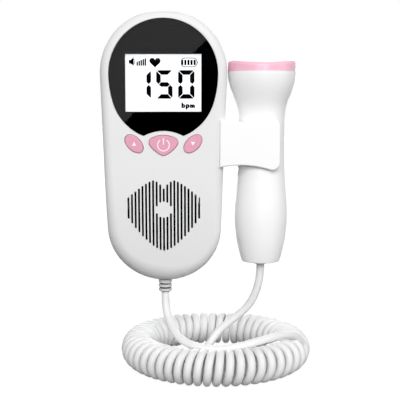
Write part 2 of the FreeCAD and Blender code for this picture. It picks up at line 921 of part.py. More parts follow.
def unit_strain_relief():
    """Notched rubber relief, held by a flange that follows the inside of the foot."""
    inner_z = bottom_z + wall + relief_gap
    body = rod_z(0, 0, relief_r, relief_end_z + relief_taper, bottom_z - relief_gap)
    tip = Part.makeCone(relief_r - relief_taper, relief_r, relief_taper, V(0, 0, relief_end_z))
    neck = rod_z(0, 0, relief_neck_r, bottom_z - relief_gap, inner_z + relief_flange_height)
    flange = rod_z(0, parting_y, relief_flange_r, bottom_z, inner_z + relief_flange_height)
    flange = flange.common(unit_body(wall + relief_gap))
    flange.translate(V(0, -parting_y, 0))
    relief = body.fuse([tip, neck, flange]).removeSplitter()
    cuts = []
    for z, height in zip(relief_notch_z, relief_notch_height):
        outer = rod_z(0, 0, relief_r + relief_notch_depth, z, z + height)
        cuts.append(outer.cut(rod_z(0, 0, relief_r - relief_notch_depth, z, z + height)))
    low = relief_notch_z[0]
    for side in (1, -1):
        x = side * relief_window_x
        cuts.append(box(x - relief_window / 2, x + relief_window / 2, -past, past, low,
                        low + relief_window / 2))
    relief = relief.cut(cuts)
    relief.translate(V(0, parting_y, 0))
    return relief


def clip_root_x():
    """Where the clip starts, a little inside the widest part of the unit."""
    return unit_half_width() - clip_root_sink


def clip_gap():
    """Half the space between the fingers."""
    return probe_grip[0][0] + probe_side_gap


def finger_outline():
    """Side of the clip seen from the front: broad root and pad, with a drawn-in neck."""
    r = clip_corner_r
    lean = r * (1 - math.cos(math.pi / 4))
    top = clip_tip_top_z
    low = clip_tip_bottom_z
    tip = probe_x() + clip_tip_reach
    root_top = V(clip_root_x(), 0, clip_root_top_z)
    root_low = V(clip_root_x(), 0, clip_root_bottom_z)
    neck_top = V(probe_x() - clip_neck_back, 0, clip_neck_top_z)
    neck_low = V(probe_x() - clip_neck_back, 0, clip_neck_bottom_z)
    pad_top = V(tip - r, 0, top)
    pad_low = V(tip - r, 0, low)
    edges = [arc(root_top, neck_top, pad_top),
             arc(pad_top, V(tip - lean, 0, top - lean), V(tip, 0, top - r)),
             line(V(tip, 0, top - r), V(tip, 0, low + r)),
             arc(V(tip, 0, low + r), V(tip - lean, 0, low + lean), pad_low),
             arc(pad_low, neck_low, root_low),
             line(root_low, root_top)]
    return Part.Wire(edges)


def clip_tongue(grow):
    """T-shaped tongue on the parting plane that locks the clip between the covers."""
    outer_x = clip_root_x() + wall * 2
    inner_x = clip_root_x() - wall - tongue_head_thickness - lock_gap
    neck_half = tongue_thickness / 2 + grow
    neck = box(inner_x, outer_x, parting_y - neck_half, parting_y + neck_half,
               clip_middle_z() - tongue_half_height - grow, clip_middle_z() + tongue_half_height + grow)
    head_x = inner_x + tongue_head_thickness
    head = box(inner_x, head_x, parting_y - tongue_head_depth / 2, parting_y + tongue_head_depth / 2,
               clip_middle_z() - tongue_half_height, clip_middle_z() + tongue_half_height)
    return neck.fuse(head)


def clip_middle_z():
    return (clip_neck_top_z + clip_neck_bottom_z) / 2


def clip_slot():
    return clip_tongue(tongue_gap)


def probe_clip():
    """Fork with two flat fingers and a round saddle, open towards +X."""
    half = clip_gap() + finger_thickness
    block = prism(finger_outline(), -half, half)
    rim = [e for f in block.Faces if faces_y(f) for e in f.Edges]
    block = block.makeFillet(clip_edge_r, rim)
    saddle = rod_z(probe_x(), 0, clip_gap(), bottom_z, top_z)
    mouth = box(probe_x(), probe_x() + past, -clip_gap(), clip_gap(), bottom_z, top_z)
    clip = block.cut([saddle, mouth, unit_body(-clip_seat_gap)])
    return clip.fuse(clip_tongue(0)).removeSplitter()


def probe_edge(shrink):
    """Profile of the probe's barrel, drawn in by shrink; it flares from the waist to the head."""
    points = [V(probe_head_r - shrink, 0, probe_neck_z)]
    step = probe_head_r - probe_waist_r
    points += [V(probe_waist_r + share * step - shrink, 0, z) for share, z in head_flare]
    points += [V(r - shrink, 0, z) for r, z in probe_grip]
    curve = Part.BSplineCurve()
    curve.interpolate(points)
    return curve.toShape(), points


def probe_barrel(shrink, base_z, base_r):
    """Closed barrel below the pink ring."""
    edge, points = probe_edge(shrink)
    foot = V(base_r, 0, base_z)
    axis_low = V(0, 0, base_z)
    axis_top = V(0, 0, probe_neck_z)
    edges = [edge, line(points[-1], foot), line(foot, axis_low), line(axis_low, axis_top),
             line(axis_top, points[0])]
    return Part.Face(Part.Wire(edges)).revolve(V(0, 0, 0), V(0, 0, 1), 360)


def moved_to_probe(shape):
    shape.translate(V(probe_x(), 0, 0))
    return shape


def probe_shell():
    outer = probe_barrel(0, probe_base_z, probe_base_r)
    inner = probe_barrel(probe_wall, probe_base_z - past, probe_base_r - probe_wall)
    return moved_to_probe(outer.cut(inner))


def saddle_tool():
    """Cylinder along Y that dips the top of the pink ring in the middle."""
    centre_z = ring_top_z - saddle_dip + saddle_r
    return Part.makeCylinder(saddle_r, past * 4, V(0, -past * 2, centre_z), V(0, 1, 0))


def probe_collar():
    """Soft pink ring around the transducer, with a skirt inside the barrel."""
    r = probe_head_r
    inner = r - ring_wall
    body = rod_z(0, 0, r, probe_neck_z, ring_top_z + saddle_dip)
    body = body.cut(saddle_tool())
    top = [e for e in body.Edges if e.BoundBox.ZMin > (probe_neck_z + ring_top_z) / 2]
    body = body.makeFillet(ring_round, top)
    skirt_r = r - probe_wall - ring_fit
    skirt = rod_z(0, 0, skirt_r, probe_neck_z - ring_skirt_length, probe_neck_z)
    body = body.fuse(skirt)
    bore = rod_z(0, 0, inner - face_ledge, probe_neck_z - past, face_z)
    skirt_bore = rod_z(0, 0, skirt_r - ring_skirt_wall, probe_neck_z - past, probe_neck_z)
    mouth = rod_z(0, 0, inner, face_z, ring_top_z + past)
    taper = barrel_clearance()
    return moved_to_probe(body.cut([bore, skirt_bore, mouth]).common(taper).removeSplitter())


def barrel_clearance():
    """Room that the barrel leaves for the ring's skirt."""
    inside = probe_barrel(probe_wall + ring_fit, probe_base_z, probe_base_r - probe_wall)
    return inside.fuse(rod_z(0, 0, probe_head_r, probe_neck_z, ring_top_z + past))


def transducer_face():
    r = probe_head_r - ring_wall - face_fit
    return moved_to_probe(rod_z(0, 0, r, face_z, face_z + face_thickness))


def half_disc(side):
    """D-shaped crystal against the back of the transducer's face."""
    disc = rod_z(0, 0, crystal_r, face_z - crystal_thickness, face_z)
    x0, x1 = sorted((side * crystal_gap / 2, side * past))
    return moved_to_probe(disc.common(box(x0, x1, -past, past, 0, ring_top_z)))


def crystal_backing():
    top = face_z - crystal_thickness
    r = probe_head_r - ring_wall - face_ledge - backing_side_gap
    return moved_to_probe(rod_z(0, 0, r, top - backing_thickness, top))


def probe_board():
    half = probe_waist_r - probe_wall - probe_board_fit
    low = probe_board_top_z - probe_board_length
    thick = board_thickness / 2
    return moved_to_probe(box(-half, half, -thick, thick, low, probe_board_top_z))


def probe_end_cap():
    r = probe_base_r - probe_wall - end_cap_gap
    cap = rod_z(0, 0, r, probe_base_z, probe_base_z + end_cap_thickness)
    hole = rod_z(0, 0, probe_relief_r + relief_gap, probe_base_z - past, probe_base_z + past)
    return moved_to_probe(cap.cut(hole))


def probe_strain_relief():
    cap_top = probe_base_z + end_cap_thickness
    body = rod_z(0, 0, probe_relief_r, probe_base_z - probe_relief_drop,
                 probe_base_z + probe_relief_length)
    flange = rod_z(0, 0, probe_relief_flange_r, cap_top, cap_top + probe_relief_flange_height)
    return moved_to_probe(body.fuse(flange).removeSplitter())


def tube(route):
    """Round cord along straight runs joined by tangent arcs."""
    points = [V(*p) for p in route]
    edges = []
    at = points[0]
    for before, corner, after in zip(points, points[1:], points[2:]):
        run_in = corner - before
        run_out = after - corner
        half_turn = run_in.getAngle(run_out) / 2
        cut_back = arc_share * min(run_in.Length, run_out.Length)
        r = cut_back / math.tan(half_turn)
        run_in.normalize()
        run_out.normalize()
        start = corner - run_in * cut_back
        end = corner + run_out * cut_back
        inward = (run_out - run_in).normalize()
        middle = corner + inward * (r / math.cos(half_turn) - r)
        edges += [line(at, start), arc(start, middle, end)]
        at = end
    edges.append(line(at, points[-1]))
    heading = (points[1] - points[0]).normalize()
    circle = Part.Wire([Part.Circle(points[0], heading, cord_d / 2).toShape()])
    return Part.Wire(edges).makePipeShell([circle], True, False)


def cord_curl():
    """The curled length as one ring of its outer diameter, lying on the surface."""
    return Part.makeTorus(curl_ring_r, curl_outer_r, V(*curl_centre), V(0, 0, 1))


def main():
    os.makedirs("parts", exist_ok=True)
    outer = unit_body(0)
    cavity = unit_body(wall)
    save("front_cover", front_cover(outer, cavity))
    save("rear_cover", rear_cover(outer, cavity))
    save("battery_cover", battery_cover(outer, cavity))
    save("housing_screws", Part.makeCompound(housing_screws()))
    save("display_window", display_window())
    save("window_mask", window_mask())
    save("lcd_frame", lcd_frame())
    save("lcd_panel", lcd_panel())
    save("backlight", backlight())
    save("main_board", main_board())
    save("board_screws", Part.makeCompound(board_screws()))
    save("processor_chip", on_board_back(processor_x, processor_z, processor_size, processor_size,
                                         chip_height))
    save("amplifier_chip", on_board_back(amplifier_x, amplifier_z, amplifier_length, amplifier_width,
                                         chip_height))
    save("board_parts", Part.makeCompound(board_parts()))
    save("tact_switches", Part.makeCompound(tact_switches()))
    for name in button_outlines(0):
        save(name, button(name))
    save("speaker_frame", speaker_frame())
    save("speaker_magnet", speaker_magnet())
    save("speaker_cone", speaker_cone())
    save("grille_cloth", grille_cloth())
    save("battery_1", cell(1))
    save("battery_2", cell(-1))
    save("battery_springs", Part.makeCompound(battery_springs()))
    save("battery_plates", Part.makeCompound(battery_plates()))
    save("earphone_socket", earphone_socket())
    save("unit_strain_relief", unit_strain_relief())
    save("probe_clip", probe_clip())
    save("probe_shell", probe_shell())
    save("probe_collar", probe_collar())
    save("transducer_face", transducer_face())
    save("transmit_crystal", half_disc(-1))
    save("receive_crystal", half_disc(1))
    save("crystal_backing", crystal_backing())
    save("probe_board", probe_board())
    save("probe_end_cap", probe_end_cap())
    save("probe_strain_relief", probe_strain_relief())
    save("cord_tail_unit", tube(unit_tail))
    save("cord_tail_probe", tube(probe_tail))
    save("cord_curl", cord_curl())


main()
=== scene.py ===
"""Fetal doppler monitor: the curled cord, the display's marks, the finishes and the studio."""
import bpy
import json
import math
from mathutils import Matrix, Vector


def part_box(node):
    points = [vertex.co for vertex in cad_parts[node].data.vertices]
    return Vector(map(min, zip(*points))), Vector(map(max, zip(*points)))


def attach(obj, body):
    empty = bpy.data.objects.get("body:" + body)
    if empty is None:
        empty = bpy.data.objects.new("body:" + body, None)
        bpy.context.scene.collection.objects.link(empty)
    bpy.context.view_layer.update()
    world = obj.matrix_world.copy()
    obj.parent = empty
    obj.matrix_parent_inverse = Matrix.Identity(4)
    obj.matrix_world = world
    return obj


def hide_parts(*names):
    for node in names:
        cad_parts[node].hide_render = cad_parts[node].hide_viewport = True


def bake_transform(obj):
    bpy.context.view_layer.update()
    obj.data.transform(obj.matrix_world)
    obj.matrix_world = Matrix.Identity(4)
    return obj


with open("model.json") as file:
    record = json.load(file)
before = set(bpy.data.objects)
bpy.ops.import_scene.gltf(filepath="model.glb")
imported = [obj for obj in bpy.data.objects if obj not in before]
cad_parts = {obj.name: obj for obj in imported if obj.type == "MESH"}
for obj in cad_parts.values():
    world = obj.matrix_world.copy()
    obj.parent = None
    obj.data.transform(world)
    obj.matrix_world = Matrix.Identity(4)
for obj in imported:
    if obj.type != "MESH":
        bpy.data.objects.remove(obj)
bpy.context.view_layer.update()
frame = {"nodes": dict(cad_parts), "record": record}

mm = 0.001
nodes = frame["nodes"]


# ---------------------------------------------------------------- camera

camera_place = (17.8 * mm, -450.0 * mm, 19.9 * mm)
camera_pitch = -5.93     # degrees from level
sensor_width = 36.0      # mm, as the camera counts it
focal_length = 80.4      # mm, behind that sensor
view_depth = 20.0        # metres


def make_camera():
    """Eye level a little above the unit's middle, looking slightly down."""
    data = bpy.data.cameras.new("camera")
    data.sensor_width = sensor_width
    data.lens = focal_length
    data.clip_end = view_depth
    camera = bpy.data.objects.new("camera", data)
    camera.location = camera_place
    camera.rotation_euler = (math.radians(90.0 + camera_pitch), 0.0, 0.0)
    bpy.context.scene.collection.objects.link(camera)
    bpy.context.scene.camera = camera


make_camera()


# ---------------------------------------------------------------- small makers

def in_metres(point):
    """A point that is given in mm."""
    return tuple(c * mm for c in point)


def mesh_object(name, points, faces, material=None, smooth=True):
    """A piece from points in metres, placed in its mesh."""
    mesh = bpy.data.meshes.new(name)
    mesh.from_pydata([tuple(p) for p in points], [], faces)
    if smooth:
        mesh.polygons.foreach_set("use_smooth", [True] * len(mesh.polygons))
    mesh.update()
    piece = bpy.data.objects.new(name, mesh)
    bpy.context.scene.collection.objects.link(piece)
    if material is not None:
        mesh.materials.append(material)
    return piece


def tube_rings(path, radius, sides):
    """Rings of points round the path, each turned as little as can be from the one before it."""
    turns = [2.0 * math.pi * k / sides for k in range(sides)]
    ahead = [(b - a).normalized() for a, b in zip(path, path[1:])]
    heading = [ahead[0]] + [(a + b).normalized() for a, b in zip(ahead, ahead[1:])] + [ahead[-1]]
    normal = heading[0].orthogonal().normalized()
    rings = []
    for i, (at, way) in enumerate(zip(path, heading)):
        if i:
            normal = heading[i - 1].rotation_difference(way) @ normal
        normal = (normal - way * normal.dot(way)).normalized()
        side = way.cross(normal)
        rings.append([at + radius * (math.cos(turn) * normal + math.sin(turn) * side) for turn in turns])
    return rings


def tube(name, path, radius, sides, material):
    """Round tube along path with closed ends; its UV runs round it and along it, in metres."""
    rings = tube_rings(path, radius, sides)
    last = (len(rings) - 1) * sides
    faces = []
    for start in range(0, last, sides):
        for k in range(sides):
            after = (k + 1) % sides
            faces.append((start + k, start + after, start + sides + after, start + sides + k))
    faces.append(tuple(reversed(range(sides))))
    faces.append(tuple(last + k for k in range(sides)))
    piece = mesh_object(name, [p for ring in rings for p in ring], faces, material)
    along = [0.0]
    for a, b in zip(path, path[1:]):
        along.append(along[-1] + (b - a).length)
    layer = piece.data.uv_layers.new(name="along")
    for face in piece.data.polygons[:-2]:
        ring, k = divmod(face.index, sides)
        corners = ((ring, k), (ring, k + 1), (ring + 1, k + 1), (ring + 1, k))
        for loop, (step, turn) in zip(face.loop_indices, corners):
            layer.data[loop].uv = (turn / sides * 2.0 * math.pi * radius, along[step])
    return piece


# ---------------------------------------------------------------- node trees

def connect(tree, node, inputs):
    """Fill a node's inputs, by name or number, with values or with the outputs of other nodes."""
    for socket, value in inputs.items():
        if isinstance(value, bpy.types.NodeSocket):
            tree.links.new(value, node.inputs[socket])
        else:
            node.inputs[socket].default_value = value


def add(tree, kind, inputs=None, **settings):
    """New node with its settings and inputs."""
    node = tree.nodes.new(kind)
    for key, value in settings.items():
        setattr(node, key, value)
    connect(tree, node, inputs or {})
    return node


def worked_out(tree, operation, *values):
    """What one Math node makes of values or other nodes' outputs."""
    return add(tree, "ShaderNodeMath", dict(enumerate(values)), operation=operation).outputs[0]


def new_tree(name, kind, inputs, outputs):
    """Node tree with named sockets, each of a kind and, for most inputs, with a value."""
    tree = bpy.data.node_groups.new(name, kind)
    for label, socket_kind, value in inputs:
        socket = tree.interface.new_socket(name=label, in_out="INPUT",
                                           socket_type="NodeSocket" + socket_kind)
        if value is not None:
            socket.default_value = value
    for label, socket_kind in outputs:
        tree.interface.new_socket(name=label, in_out="OUTPUT", socket_type="NodeSocket" + socket_kind)
    return tree


# ---------------------------------------------------------------- cord

cord_d = 4.0 * mm
cord_sides = 14
ring_centre = (25.9 * mm, 8.0 * mm, -104.6 * mm)
ring_r = 40.2 * mm
ring_steps = 720         # steps round the ring in which the turns are counted
strand_r = 6.85 * mm     # from the ring's line to the cord's own line
turn_points = 12         # control points in one turn of the curl
line_steps = 4           # steps from one control point to the next

# The spline runs inside its control points, so they stand a little further out.
strand_control_r = strand_r / math.cos(math.pi / turn_points)

# Degrees: where on the ring the curl starts and ends, and how far round the strand it stands there.
first_angle = -14.0
first_turn = 39.0
last_angle = -368.6
last_turn = -90.0

unit_tail = [(0.0, 2.0, -73.9), (0.0, 2.0, -80.9), (1.6, -1.6, -88.2), (6.6, -12.4, -95.2),
             (16.8, -21.0, -97.9), (27.8, -23.4, -98.3), (39.0, -23.0, -96.1),
             (49.4, -20.6, -93.6), (58.6, -15.2, -92.6), (65.8, -8.8, -94.5)]
probe_tail = [(48.6, 0.0, -59.25), (48.6, 0.0, -65.0), (46.8, 0.9, -73.6), (43.2, 2.4, -81.6),
              (35.6, 4.2, -88.8), (27.6, 5.0, -95.2), (22.0, 2.2, -102.8),
              (16.3, -6.2, -109.0), (17.3, -15.2, -111.5), (23.7, -21.6, -111.5),
              (32.9, -23.4, -111.5), (41.5, -20.2, -111.5), (49.3, -14.4, -111.5),
              (55.9, -7.2, -111.5), (61.5, 1.0, -111.5)]

# Places round the ring in degrees, and how far one turn of the curl advances there, in mm.
curl_pitch = ((-14.0, 6.2), (-33.0, 6.0), (-45.0, 5.4), (-60.0, 4.9), (-75.0, 4.6), (-92.0, 4.3),
              (-108.0, 4.2), (-125.0, 4.4), (-140.0, 4.9), (-155.0, 5.1), (-200.0, 5.2),
              (-250.0, 5.0), (-300.0, 5.1), (-325.0, 5.4), (-368.6, 5.0))


def pitch_at(angle):
    """Advance of one turn, in mm, at a place round the ring."""
    for (a, first), (b, second) in zip(curl_pitch, curl_pitch[1:]):
        if b <= angle <= a:
            return first + (second - first) * (a - angle) / (a - b)
    return curl_pitch[-1][1]


def curl_turns():
    """Angles of small steps round the ring, the turns made up to each, and how many there are in all."""
    angles = [first_angle + (last_angle - first_angle) * i / ring_steps for i in range(ring_steps + 1)]
    step_length = math.radians(abs(last_angle - first_angle) / ring_steps) * ring_r / mm
    turns = [0.0]
    for angle in angles[1:]:
        turns.append(turns[-1] + step_length / pitch_at(angle))
    part_turn = (first_turn - last_turn) / 360.0
    whole = round(turns[-1] - part_turn) + part_turn
    scale = whole / turns[-1]
    return angles, [turn * scale for turn in turns], whole


def curl_points():
    """Control points of the curl: a helix wound round the ring, going down on its outer side."""
    angles, turns, whole = curl_turns()
    count = int(whole * turn_points)
    points = []
    place = 0
    for i in range(count + 1):
        turn = whole * i / count
        while place < len(turns) - 2 and turns[place + 1] < turn:
            place += 1
        share = (turn - turns[place]) / (turns[place + 1] - turns[place])
        round_ring = math.radians(angles[place] + (angles[place + 1] - angles[place]) * share)
        round_strand = math.radians(first_turn - 360.0 * turn)
        reach = ring_r + strand_control_r * math.cos(round_strand)
        points.append((ring_centre[0] + reach * math.cos(round_ring),
                       ring_centre[1] + reach * math.sin(round_ring),
                       ring_centre[2] + strand_control_r * math.sin(round_strand)))
    return points


def cord_path():
    """The cord's line from the unit to the probe, as the points of one smooth spline."""
    route = [in_metres(p) for p in unit_tail]
    route += curl_points()
    route += [in_metres(p) for p in reversed(probe_tail)]
    data = bpy.data.curves.new("cord_line", "CURVE")
    data.dimensions = "3D"
    data.resolution_u = line_steps
    spline = data.splines.new("NURBS")
    spline.points.add(len(route) - 1)
    for point, place in zip(spline.points, route):
        point.co = (*place, 1.0)
    spline.order_u = 3
    spline.use_endpoint_u = True
    line = bpy.data.objects.new("cord_line", data)
    bpy.context.scene.collection.objects.link(line)
    bpy.context.view_layer.update()
    drawn = bpy.data.meshes.new_from_object(line)
    path = [v.co.copy() for v in drawn.vertices]
    bpy.data.objects.remove(line)
    bpy.data.meshes.remove(drawn)
    return path


def make_cord(material):
    """The whole cord, in place of the solids' two tails and plain ring."""
    path = cord_path()
    cord = tube("cord", path, cord_d / 2, cord_sides, material)
    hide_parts("cord_tail_unit", "cord_curl", "cord_tail_probe")
    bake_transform(cord)


# ---------------------------------------------------------------- shader groups

def pattern_scale(tree, size, repeat=1.0):
    """Scale at which a texture repeats in the given size."""
    return worked_out(tree, "DIVIDE", repeat, size)


def moulded_grain_group():
    """Fine texture of moulded plastic: grain height, and a slow mottle for gloss and shade."""
    group = new_tree("moulded_grain", "ShaderNodeTree",
                     [("Grain size", "Float", 0.3 * mm), ("Mottle size", "Float", 20.0 * mm),
                      ("Roughness", "Float", 0.3), ("Roughness spread", "Float", 0.06),
                      ("Shade", "Color", (0.9, 0.9, 0.9, 1.0)), ("Shade spread", "Float", 0.02)],
                     [("Height", "Float"), ("Roughness", "Float"), ("Color", "Color")])
    source = add(group, "NodeGroupInput").outputs
    place = add(group, "ShaderNodeTexCoord").outputs["Object"]
    grain = add(group, "ShaderNodeTexNoise",
                {"Vector": place, "Scale": pattern_scale(group, source["Grain size"]), "Detail": 3.0})
    mottle = add(group, "ShaderNodeTexNoise",
                 {"Vector": place, "Scale": pattern_scale(group, source["Mottle size"]), "Detail": 4.0})
    centred = worked_out(group, "SUBTRACT", mottle.outputs["Fac"], 0.5)
    gloss = worked_out(group, "MULTIPLY_ADD", centred, source["Roughness spread"], source["Roughness"])
    tone = worked_out(group, "MULTIPLY_ADD", centred, source["Shade spread"], 1.0)
    tinted = add(group, "ShaderNodeVectorMath", {0: source["Shade"], "Scale": tone}, operation="SCALE")
    add(group, "NodeGroupOutput",
        {"Height": grain.outputs["Fac"], "Roughness": gloss, "Color": tinted.outputs[0]})
    return group


def hairline_group():
    """Fine scratches of drawn metal; they run long on the axis that is stretched most."""
    group = new_tree("hairlines", "ShaderNodeTree",
                     [("Spacing", "Float", 0.4 * mm), ("Stretch", "Vector", (1.0, 1.0, 20.0))],
                     [("Mask", "Float")])
    source = add(group, "NodeGroupInput").outputs
    place = add(group, "ShaderNodeTexCoord").outputs["Object"]
    squeezed = add(group, "ShaderNodeVectorMath", {0: place, 1: source["Stretch"]}, operation="DIVIDE")
    lines = add(group, "ShaderNodeTexNoise",
                {"Vector": squeezed.outputs[0], "Scale": pattern_scale(group, source["Spacing"]),
                 "Detail": 5.0})
    add(group, "NodeGroupOutput", {"Mask": lines.outputs["Fac"]})
    return group


def weave_group():
    """Over-and-under threads of a fine cloth, on the flat of X and Z, from 0 to 1."""
    group = new_tree("weave", "ShaderNodeTree", [("Thread", "Float", 0.4 * mm)], [("Threads", "Float")])
    source = add(group, "NodeGroupInput").outputs
    place = add(group, "ShaderNodeTexCoord").outputs["Object"]
    scaled = add(group, "ShaderNodeVectorMath",
                 {0: place, "Scale": pattern_scale(group, source["Thread"], math.pi)}, operation="SCALE")
    parts = add(group, "ShaderNodeSeparateXYZ", {0: scaled.outputs[0]}).outputs
    product = worked_out(group, "MULTIPLY", worked_out(group, "SINE", parts["X"]),
                         worked_out(group, "SINE", parts["Z"]))
    add(group, "NodeGroupOutput", {"Threads": worked_out(group, "MULTIPLY_ADD", product, 0.5, 0.5)})
    return group


grain_tree = moulded_grain_group()
hairline_tree = hairline_group()
weave_tree = weave_group()


# ---------------------------------------------------------------- finishes

plastic_ior = 1.48
acrylic_ior = 1.46
polish_roughness = 0.06
backlight_strength = 0.22
metal_mottle = 4.0 * mm
hairline_spacing = 0.3 * mm
cloth_thread = 0.5 * mm
cloth_tones = (0.001, 0.005)

relief_axis_y = unit_tail[0][1] * mm
notch_floor = 2.75 * mm  # from the relief's axis to the bottom of its notches
ridge_top = 3.2 * mm     # from the relief's axis to where the painted shade ends and the rubber keeps its own grey
# Painted shade: how dark the rubber is coloured at the floor of its notches.
notch_painted_shade = 0.05


def plain_material(name):
    """New material, its node tree and its Principled shader."""
    material = bpy.data.materials.new(name)
    material.use_nodes = True
    tree = material.node_tree
    return material, tree, tree.nodes["Principled BSDF"]


def placed(tree, group, **values):
    """Outputs of a group placed in a material; an input's name has _ for its spaces."""
    inputs = {label.replace("_", " "): value for label, value in values.items()}
    return add(tree, "ShaderNodeGroup", inputs, node_tree=group).outputs


def grained(tree, shader, shade, **values):
    """Colour and roughness from the moulded grain, whose outputs it gives back."""
    marks = placed(tree, grain_tree, Shade=(*shade, 1.0), **values)
    connect(tree, shader, {"Base Color": marks["Color"], "Roughness": marks["Roughness"]})
    return marks


def bump(tree, shader, height, depth):
    """Relief on the surface, as deep as depth in mm where height goes from 0 to 1."""
    relief = add(tree, "ShaderNodeBump", {"Height": height, "Distance": depth * mm, "Strength": 1.0})
    connect(tree, shader, {"Normal": relief.outputs["Normal"]})


def moulded(name, shade, roughness, coat=0.0, grain=0.35, depth=0.004, spread=0.03,
            roughness_spread=0.12, specular=0.5):
    """Moulded plastic: fine grain and its depth in mm, slow mottle, and a gloss where it is polished."""
    material, tree, shader = plain_material(name)
    marks = grained(tree, shader, shade, Grain_size=grain * mm, Roughness=roughness,
                    Roughness_spread=roughness_spread, Shade_spread=spread)
    bump(tree, shader, marks["Height"], depth)
    connect(tree, shader, {"IOR": plastic_ior, "Specular IOR Level": specular})
    if coat:
        connect(tree, shader, {"Coat Weight": coat, "Coat Roughness": polish_roughness})
    return material


def metal(name, shade, roughness=0.3, stretch=(1.0, 1.0, 20.0)):
    """Plated or drawn metal with hairlines."""
    material, tree, shader = plain_material(name)
    grained(tree, shader, shade, Mottle_size=metal_mottle, Roughness=roughness,
            Roughness_spread=0.2, Shade_spread=0.12)
    lines = placed(tree, hairline_tree, Spacing=hairline_spacing, Stretch=stretch)
    bump(tree, shader, lines["Mask"], depth=0.003)
    connect(tree, shader, {"Metallic": 1.0})
    return material


def notched_rubber():
    """Grey rubber of the strain relief, with shade painted dark down in its notches."""
    material, tree, shader = plain_material("relief_grey")
    marks = grained(tree, shader, (0.6, 0.6, 0.61), Grain_size=0.3 * mm, Roughness=0.55,
                    Roughness_spread=0.15, Shade_spread=0.08)
    place = add(tree, "ShaderNodeTexCoord").outputs["Object"]
    off_axis = add(tree, "ShaderNodeVectorMath", {0: place, 1: (0.0, relief_axis_y, 0.0)},
                   operation="SUBTRACT")
    flat = add(tree, "ShaderNodeVectorMath", {0: off_axis.outputs[0], 1: (1.0, 1.0, 0.0)},
               operation="MULTIPLY")
    reach = add(tree, "ShaderNodeVectorMath", {0: flat.outputs[0]}, operation="LENGTH")
    # Painted shade: the colour darkens as the surface nears the relief's axis, darkest at the notch
    # floors.
    notch_shade_mask = add(tree, "ShaderNodeMapRange",
                {"Value": reach.outputs["Value"], "From Min": notch_floor, "From Max": ridge_top,
                 "To Min": notch_painted_shade, "To Max": 1.0})
    shaded = add(tree, "ShaderNodeVectorMath", {0: marks["Color"], "Scale": notch_shade_mask.outputs["Result"]},
                 operation="SCALE")
    bump(tree, shader, marks["Height"], depth=0.01)
    connect(tree, shader, {"Base Color": shaded.outputs[0], "Specular IOR Level": 0.3})
    return material


def clear_lens():
    """Polished clear acrylic with the faintest haze."""
    material, tree, shader = plain_material("lens_clear")
    grained(tree, shader, (0.97, 0.98, 1.0), Roughness=0.015, Roughness_spread=0.01, Shade_spread=0.01)
    connect(tree, shader, {"Transmission Weight": 1.0, "IOR": acrylic_ior})
    return material


def lit_glass():
    """The display's glass, lit evenly from behind."""
    material, tree, shader = plain_material("lcd_glass")
    marks = grained(tree, shader, (0.99, 0.99, 1.0), Roughness=0.35, Roughness_spread=0.05,
                    Shade_spread=0.03)
    connect(tree, shader, {"Emission Color": marks["Color"], "Emission Strength": backlight_strength})
    return material


def cloth_black():
    """Dust cloth behind the grille, nearly black, with its threads just there."""
    material, tree, shader = plain_material("cloth_black")
    threads = placed(tree, weave_tree, Thread=cloth_thread)["Threads"]
    ramp = add(tree, "ShaderNodeValToRGB", {"Fac": threads})
    for stop, tone in zip(ramp.color_ramp.elements, cloth_tones):
        stop.color = (tone, tone, tone, 1.0)
    bump(tree, shader, threads, depth=0.05)
    connect(tree, shader, {"Base Color": ramp.outputs["Color"], "Roughness": 0.9,
                           "Specular IOR Level": 0.02})
    return material


finishes = {
    "housing_white": moulded("housing_white", (0.82, 0.82, 0.825), roughness=0.45, specular=0.04),
    "probe_white": moulded("probe_white", (0.95, 0.95, 0.955), roughness=0.38, specular=0.3),
    "clip_white": moulded("clip_white", (0.95, 0.95, 0.955), roughness=0.45, depth=0.006,
                          specular=0.25),
    "button_pink": moulded("button_pink", (0.74, 0.32, 0.44), roughness=0.38, coat=0.15),
    "ring_pink": moulded("ring_pink", (0.95, 0.52, 0.64), roughness=0.34, coat=0.3),
    "lens_clear": clear_lens(),
    "mask_black": moulded("mask_black", (0.0012, 0.0012, 0.0013), roughness=0.6, spread=0.3,
                          specular=0.0),
    "lcd_glass": lit_glass(),
    "light_box": moulded("light_box", (0.9, 0.9, 0.9), roughness=0.5),
    "board_green": moulded("board_green", (0.03, 0.18, 0.08), roughness=0.3, coat=0.5, spread=0.2),
    "chip_black": moulded("chip_black", (0.02, 0.02, 0.022), roughness=0.55, grain=0.2, spread=0.3),
    "component_metal": metal("component_metal", (0.7, 0.71, 0.73)),
    "screw_steel": metal("screw_steel", (0.3, 0.31, 0.33), roughness=0.5, stretch=(20.0, 1.0, 1.0)),
    "speaker_black": moulded("speaker_black", (0.02, 0.02, 0.022), roughness=0.6, spread=0.3),
    "magnet_steel": metal("magnet_steel", (0.5, 0.5, 0.52)),
    "cloth_black": cloth_black(),
    "cell_jacket": metal("cell_jacket", (0.25, 0.26, 0.28), roughness=0.35),
    "contact_metal": metal("contact_metal", (0.75, 0.74, 0.7), roughness=0.2),
    "relief_grey": notched_rubber(),
    "face_grey": moulded("face_grey", (0.6, 0.62, 0.65), roughness=0.4),
    "crystal_silver": metal("crystal_silver", (0.75, 0.75, 0.72)),
    "backing_dark": moulded("backing_dark", (0.03, 0.03, 0.033), roughness=0.8, spread=0.3),
    "cord_white": moulded("cord_white", (0.82, 0.82, 0.825), roughness=0.45, grain=0.5, depth=0.012,
                          spread=0.05, specular=0.3),
}


def printed(name, shade, roughness=0.5, specular=0.5):
    """Thin printed ink: a flat colour broken by the faint grain of the print."""
    return moulded(name, shade, roughness=roughness, grain=0.12, depth=0.001, spread=0.08,
                   roughness_spread=0.2, specular=specular)


ink_black = printed("display_ink", (0.003, 0.003, 0.003), specular=0.0)
ink_grey = printed("display_ink_fine", (0.1, 0.1, 0.1), specular=0.0)
icon_white = printed("button_print_white", (0.93, 0.84, 0.88), roughness=0.4)


